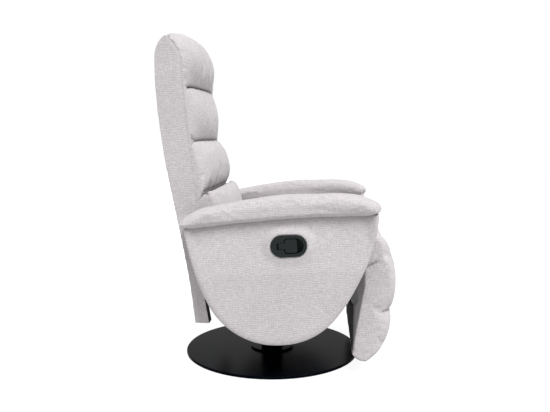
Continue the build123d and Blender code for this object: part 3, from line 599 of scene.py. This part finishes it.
def droop(piece):
    """Lets the ends of the seams between the puffs hang, as they do where the cover turns the corner."""
    where = places(piece)
    where[:, 2] -= np.interp(where[:, 2], *seam_droop) * (where[:, 1] / puff_half) ** 6
    neck = bell(where[:, 2], 0.897, 0.060)
    where[:, 2] += (neck_lift + neck_tilt * where[:, 1] / puff_half) * neck
    put(piece, where)


def bow(piece, rear, ends, middle):
    """Moves the front of a puff: its ends go back and its middle comes out, its rear stays."""
    where = places(piece)
    share = ramp(where[:, 0] - np.interp(where[:, 2], *zip(*[(z, x) for x, z in rear])), 0.0, 0.045)
    where[:, 0] += share * (middle - ends * (where[:, 1] / puff_half) ** 4)
    put(piece, where)


def press_ends(piece, half, spare):
    """Draws a puff out sideways and presses its ends flat, as the side of the cover does."""
    where = places(piece)
    width = np.abs(where[:, 1]) * (half + spare) / np.abs(where[:, 1]).max()
    soft = spare / 4
    width -= soft * np.logaddexp(0, (width - half) / soft)
    where[:, 1] = np.sign(where[:, 1]) * width
    put(piece, where)


puffs = []
for index, (name, front) in enumerate(puff_front.items()):
    top = name == "head"
    puff = skin(f"{name}_cushion", {f"{name}_puff": (0, 0, 0 if top else 0.0035)}, puff_voxel)
    fill(puff, puff_cap, held_at_rear(seam_rear[index], head_rear[0] if top else seam_rear[index + 1]))
    press_ends(puff, puff_half, puff_spare)
    bow(puff, seam_rear + head_rear if top else seam_rear, *front)
    droop(puff)
    where = places(puff)
    if name == "middle":        # its lower edge stands square over the lumbar puff
        where[:, 0] += 0.003 * bell(where[:, 2], 0.606, 0.026) * ramp(where[:, 0], -0.205, -0.180)
    if top:                     # its crest falls away to both sides
        where[:, 2] -= 0.016 * ramp(where[:, 2], 0.99, 1.06) * (where[:, 1] / puff_half) ** 2
    put(puff, where)
    refine(puff)
    puffs.append(puff)
print("puffs", [len(piece.data.vertices) for piece in puffs])

# %% [markdown]
# The deep lines between the puffs are sewn where two puffs really meet, and painted dark as shade. A ray
# from the front tells how far they stand out at a height, and the height where that is least is the groove.
# At each end the line runs a little way back along the side. The head has an upright seam in its side as
# well, with the small folds of a cover that is gathered into it and a lighter painted shade along its top.

# %% Grooves and side seams
groove_height = (0.592, 0.737, 0.908)
groove_end = ((-0.180, 0.573), (-0.226, 0.7250), (-0.252, 0.8880))
head_seam = ((-0.303, 1.061), (-0.280, 1.031), (-0.257, 0.998), (-0.2545, 0.900))
side_seam = ((-0.2545, 0.897), (-0.236, 0.722), (-0.214, 0.553), (-0.212, 0.420))
deep_shade, seam_line_shade, faint_shade = 1.0, 0.45, 0.12      # how dark the painted shade along a sewn line is
places_across = np.linspace(-0.244, 0.244, 17)


def reach(pieces, y, z):
    """How far forward these pieces stand at a place."""
    hits = [piece.ray_cast(Vector((1, y, z)), Vector((-1, 0, 0))) for piece in pieces]
    return max(hit[1].x for hit in hits if hit[0])


def valley(pieces, y, z, slack):
    """The deepest point of a groove near a height."""
    return min((reach(pieces, y, height), y, height) for height in np.linspace(z - slack, z + slack, 33))


bpy.context.view_layer.update()
lines = []
for pair, height, (side_x, side_z) in zip(zip(puffs, puffs[1:]), groove_height, groove_end):
    across = []
    for y in places_across:
        across.append(valley(pair, y, height - (height - side_z) * (y / puff_half) ** 6, 0.016))
    lines.append([(side_x, -puff_half, side_z), *across, (side_x, puff_half, side_z)])
    print("groove", [round(v, 3) for v in (*across[0], *across[8])])
# Painted shade: the grooves are darkened almost to black.
for pair, line in zip(zip(puffs, puffs[1:]), lines):
    for piece in pair:
        sew(piece, line, 0.007, 0.0025, deep_shade)
        for end in (line[:2], line[-2:]):
            gather(piece, end, 0.018, 0.0018, 0.010, (1.0, 0, 0.7))
# Painted shade along the top of the head's upright seam, lighter than in the grooves.
for side in (-puff_half, puff_half):
    seam = [(x, side, z) for x, z in head_seam]
    gather(puffs[3], seam, 0.022, 0.0030, 0.011, (0.3, 0, 1.0))
    sew(puffs[3], seam[:3], 0.005, 0.0020, seam_line_shade)
for number, piece in enumerate(puffs):
    crumple(piece, 0.0006, 0.09, number)
    name = piece.name.replace("_cushion", "_puff")
    upholster(piece, "back", [name])

# %% [markdown]
# The casing of the back: one cover drawn over the rear and both sides of the frame. Timber stiles and
# the padded cover are joined into one skin, let out a little so that no timber shows. Its sides are
# flat, but for a low swelling over each hinge bracket, and its edges stop short of the black linings.

# %% Back casing
casing_half, bracket_swell = 0.2580, 0.0027
casing_foot = 0.1645
casing = skin("back_casing", {"back_cover": (0, 0.001, 0), "back_stile_left": 0.007,
                              "back_stile_right": 0.007}, 0.006, 1)
refine(casing)
where = places(casing)
over_bracket = ramp(where[:, 0], -0.290, -0.262)
over_bracket *= ramp(where[:, 2], 0.27, 0.30) * ramp(where[:, 2], 0.51, 0.48)
most = casing_half + bracket_swell * over_bracket
where[:, 1] = np.sign(where[:, 1]) * np.minimum(np.abs(where[:, 1]), most)
where[:, 2] = np.maximum(where[:, 2], casing_foot)
lining_x = np.interp(where[:, 2], (0.165, 0.372, 0.38), (-0.1795, -0.2145, -0.19))
where[:, 0] = np.minimum(where[:, 0], lining_x)
put(casing, where)
# Painted shade along the head seam, and a faint one along the side seam.
for side in (-casing_half, casing_half):
    sew(casing, [(x, side, z) for x, z in head_seam[:3]], 0.005, 0.0015, seam_line_shade)
    sew(casing, [(x, side, z) for x, z in head_seam[2:] + side_seam], 0.005, 0.0010, faint_shade)
crumple(casing, 0.0008, 0.09, 7)
upholster(casing, "back", ["back_cover", "back_stile_left", "back_stile_right"])

# %% [markdown]
# The seat cushion and the footrest cushion. The footrest is one long cushion with a single sewn
# channel low down, so both CAD pads go into one skin. Behind, it is held on its board and narrows a
# little, and a strip of painted shade darkens its rear edge, for the shadow between it and the arm.

# %% Seat and footrest cushions
rest_half, rest_spare = 0.2555, 0.008
channel_height, channel_side_x = 0.217, 0.362
seat = skin("seat_cushion_cover", {"seat_cushion": (0, 0, 0)}, 0.007)
fill(seat, 0.012, lambda where: 1 - (where[:, 2] - 0.352) / 0.02)
refine(seat)
crumple(seat, 0.002, 0.08, 11)
upholster(seat, "seat", ["seat_cushion"])

board_in_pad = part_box("footrest_upper_pad")[1].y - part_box("footrest_board")[1].y
rest = skin("footrest_cushion", {"footrest_upper_pad": (0, 0, 0.0006), "footrest_lower_pad": (0, 0, 0.0006),
                                 "footrest_board": (0.0006, board_in_pad, 0.0012)}, 0.006)
fill(rest, 0.009, lambda where: 1 - (where[:, 0] - 0.285) / 0.015)
press_ends(rest, rest_half, rest_spare)
refine(rest)
where = places(rest)
where[:, 2] -= 0.014 * bell(where[:, 2], 0.232, 0.055)
rear_edge = np.interp(where[:, 2], (0.07, 0.29), (0.268, 0.306))
tuck = ramp(where[:, 0], rear_edge + 0.010, rear_edge - 0.030) * ramp(where[:, 2], 0.42, 0.33)
where[:, 1] -= np.sign(where[:, 1]) * 0.0045 * tuck * ramp(np.abs(where[:, 1]), 0.20, 0.25)
put(rest, where)
bpy.context.view_layer.update()
channel = [valley([rest], y, channel_height, 0.012) for y in places_across]
print("footrest channel", [round(v, 3) for v in (*channel[0], *channel[8])])
channel_ends = [(channel_side_x, side, channel[0][2] - 0.002) for side in (-rest_half, rest_half)]
# Painted shade in the sewn channel, and below in the crease at the knee.
sew(rest, [channel_ends[0], *channel, channel_ends[1]], 0.006, 0.0025, deep_shade)
for side in (-rest_half, rest_half):
    crease = [(0.306, side, 0.348), (0.340, side, 0.366)]
    gather(rest, crease, 0.020, 0.0025, 0.010, (1.0, 0, 0.4))
    sew(rest, crease, 0.007, 0.0040, 0.8)
# Painted shade: a strip along the rear edge of each side is darkened nearly to black, for the shadow between
# the footrest and the arm.
where = places(rest)
painted_rear_shade = ramp(where[:, 0], rear_edge + 0.003, rear_edge - 0.002) * ramp(np.abs(where[:, 1]), 0.235, 0.245)
painted_rear_shade *= ramp(where[:, 2], 0.375, 0.345)
shade(rest, painted_rear_shade * 1.15)
crumple(rest, 0.0010, 0.07, 13)
upholster(rest, "footrest", ["footrest_upper_pad", "footrest_lower_pad"])

# %% [markdown]
# The arms: a flat half-moon of timber, padded thin inside and thicker outside, in one sewn cover. The
# cover is drawn in under the pad, so that the pad stands over it. On the right arm it leaves the
# handle's cup open.

# %% Arms
arm_top_x, arm_top_z = (-0.238, 0.050, 0.338), (0.478, 0.514, 0.526)
recess_depth, recess_reach = 0.0225, 0.165
handle_middle, handle_tilt = (0.076, 0.431), math.radians(3)
handle_turn = math.cos(handle_tilt), math.sin(handle_tilt)
cup_straight, cup_radius = 0.021, 0.0287    # half of its straight run, and its round ends with some room
cup_floor = 0.342                           # what lies deeper than this is the pocket's floor
nose_start, nose_share = 0.30, 0.93         # the front end of a pad is a little shorter than its solid


def from_handle(where):
    """How far along the handle and how far above it each place is."""
    off = where[:, (0, 2)] - handle_middle
    return off @ handle_turn, off @ (-handle_turn[1], handle_turn[0])


def beyond_handle(where):
    """How far each place is from the middle line of the handle, in side view."""
    along, up = from_handle(where)
    return np.hypot(np.maximum(np.abs(along) - cup_straight, 0), up)


def open_for_cup(where, beyond):
    """Keeps the cover out of the handle's cup: its floor goes behind the cup and its wall goes round it."""
    deep = np.abs(where[:, 1])
    inside = beyond < cup_radius
    where[inside & (deep > 0.315) & (deep < cup_floor), 1] = -0.3375
    wall = inside & (deep >= cup_floor)
    push = cup_radius / np.maximum(beyond[wall], 1e-4) - 1
    along, up = from_handle(where[wall])
    along_out = np.sign(along) * np.maximum(np.abs(along) - cup_straight, 0) * push
    up_out = up * push
    where[wall, 0] += along_out * handle_turn[0] - up_out * handle_turn[1]
    where[wall, 2] += along_out * handle_turn[1] + up_out * handle_turn[0]


for side, far in (("left", 1), ("right", -1)):
    cover = skin(f"arm_cover_{side}", {f"arm_inner_pad_{side}": (0, 0, 0),
                                       f"arm_frame_{side}": (0.003, 0.0008, 0.003),
                                       f"arm_outer_pad_{side}": (0, 0, 0)}, 0.006)
    refine(cover)
    where = places(cover)
    below_pad = np.interp(where[:, 0], arm_top_x, arm_top_z) - where[:, 2]
    outer = ramp(np.abs(where[:, 1]), 0.341, 0.358)
    recess = recess_depth * np.clip(1 - below_pad / recess_reach, 0, 1) ** 1.2 * outer
    recess *= ramp(where[:, 0], -0.236, -0.196) * ramp(where[:, 0], 0.336, 0.300)
    if side == "right":
        beyond = beyond_handle(where)
        recess *= ramp(beyond, 0.032, 0.066)
    where[:, 1] -= far * recess
    if side == "right":
        open_for_cup(where, beyond)
    put(cover, where)
    crumple(cover, 0.0012, 0.09, 17 + far)
    upholster(cover, "seat", [f"arm_inner_pad_{side}", f"arm_outer_pad_{side}"])
    pad = skin(f"arm_rest_{side}", {f"arm_pad_{side}": (0, 0, 0)}, 0.005)
    fill(pad, 0.007, lambda where: np.zeros(len(where)))
    refine(pad)
    where = places(pad)
    nose = nose_start + (where[:, 0] - nose_start) * nose_share
    where[:, 0] = np.where(where[:, 0] > nose_start, nose, where[:, 0])
    where[:, 1] += far * 0.004 * ramp(far * where[:, 1], 0.335, 0.362)
    crown = ramp(where[:, 2], 0.520, 0.560)
    where[:, 2] -= crown * (0.0065 * bell(where[:, 0], 0.185, 0.075) + 0.0020)
    put(pad, where)
    # Painted shade along the hem of the pad, light.
    sew(pad, [(x, far * 0.3755, z + 0.006) for x, z in zip(arm_top_x, arm_top_z)], 0.004, 0.0012, 0.3)
    crumple(pad, 0.0010, 0.05, 23 + far)
    upholster(pad, "seat", [f"arm_pad_{side}"])

# %% Update
bpy.context.view_layer.update()
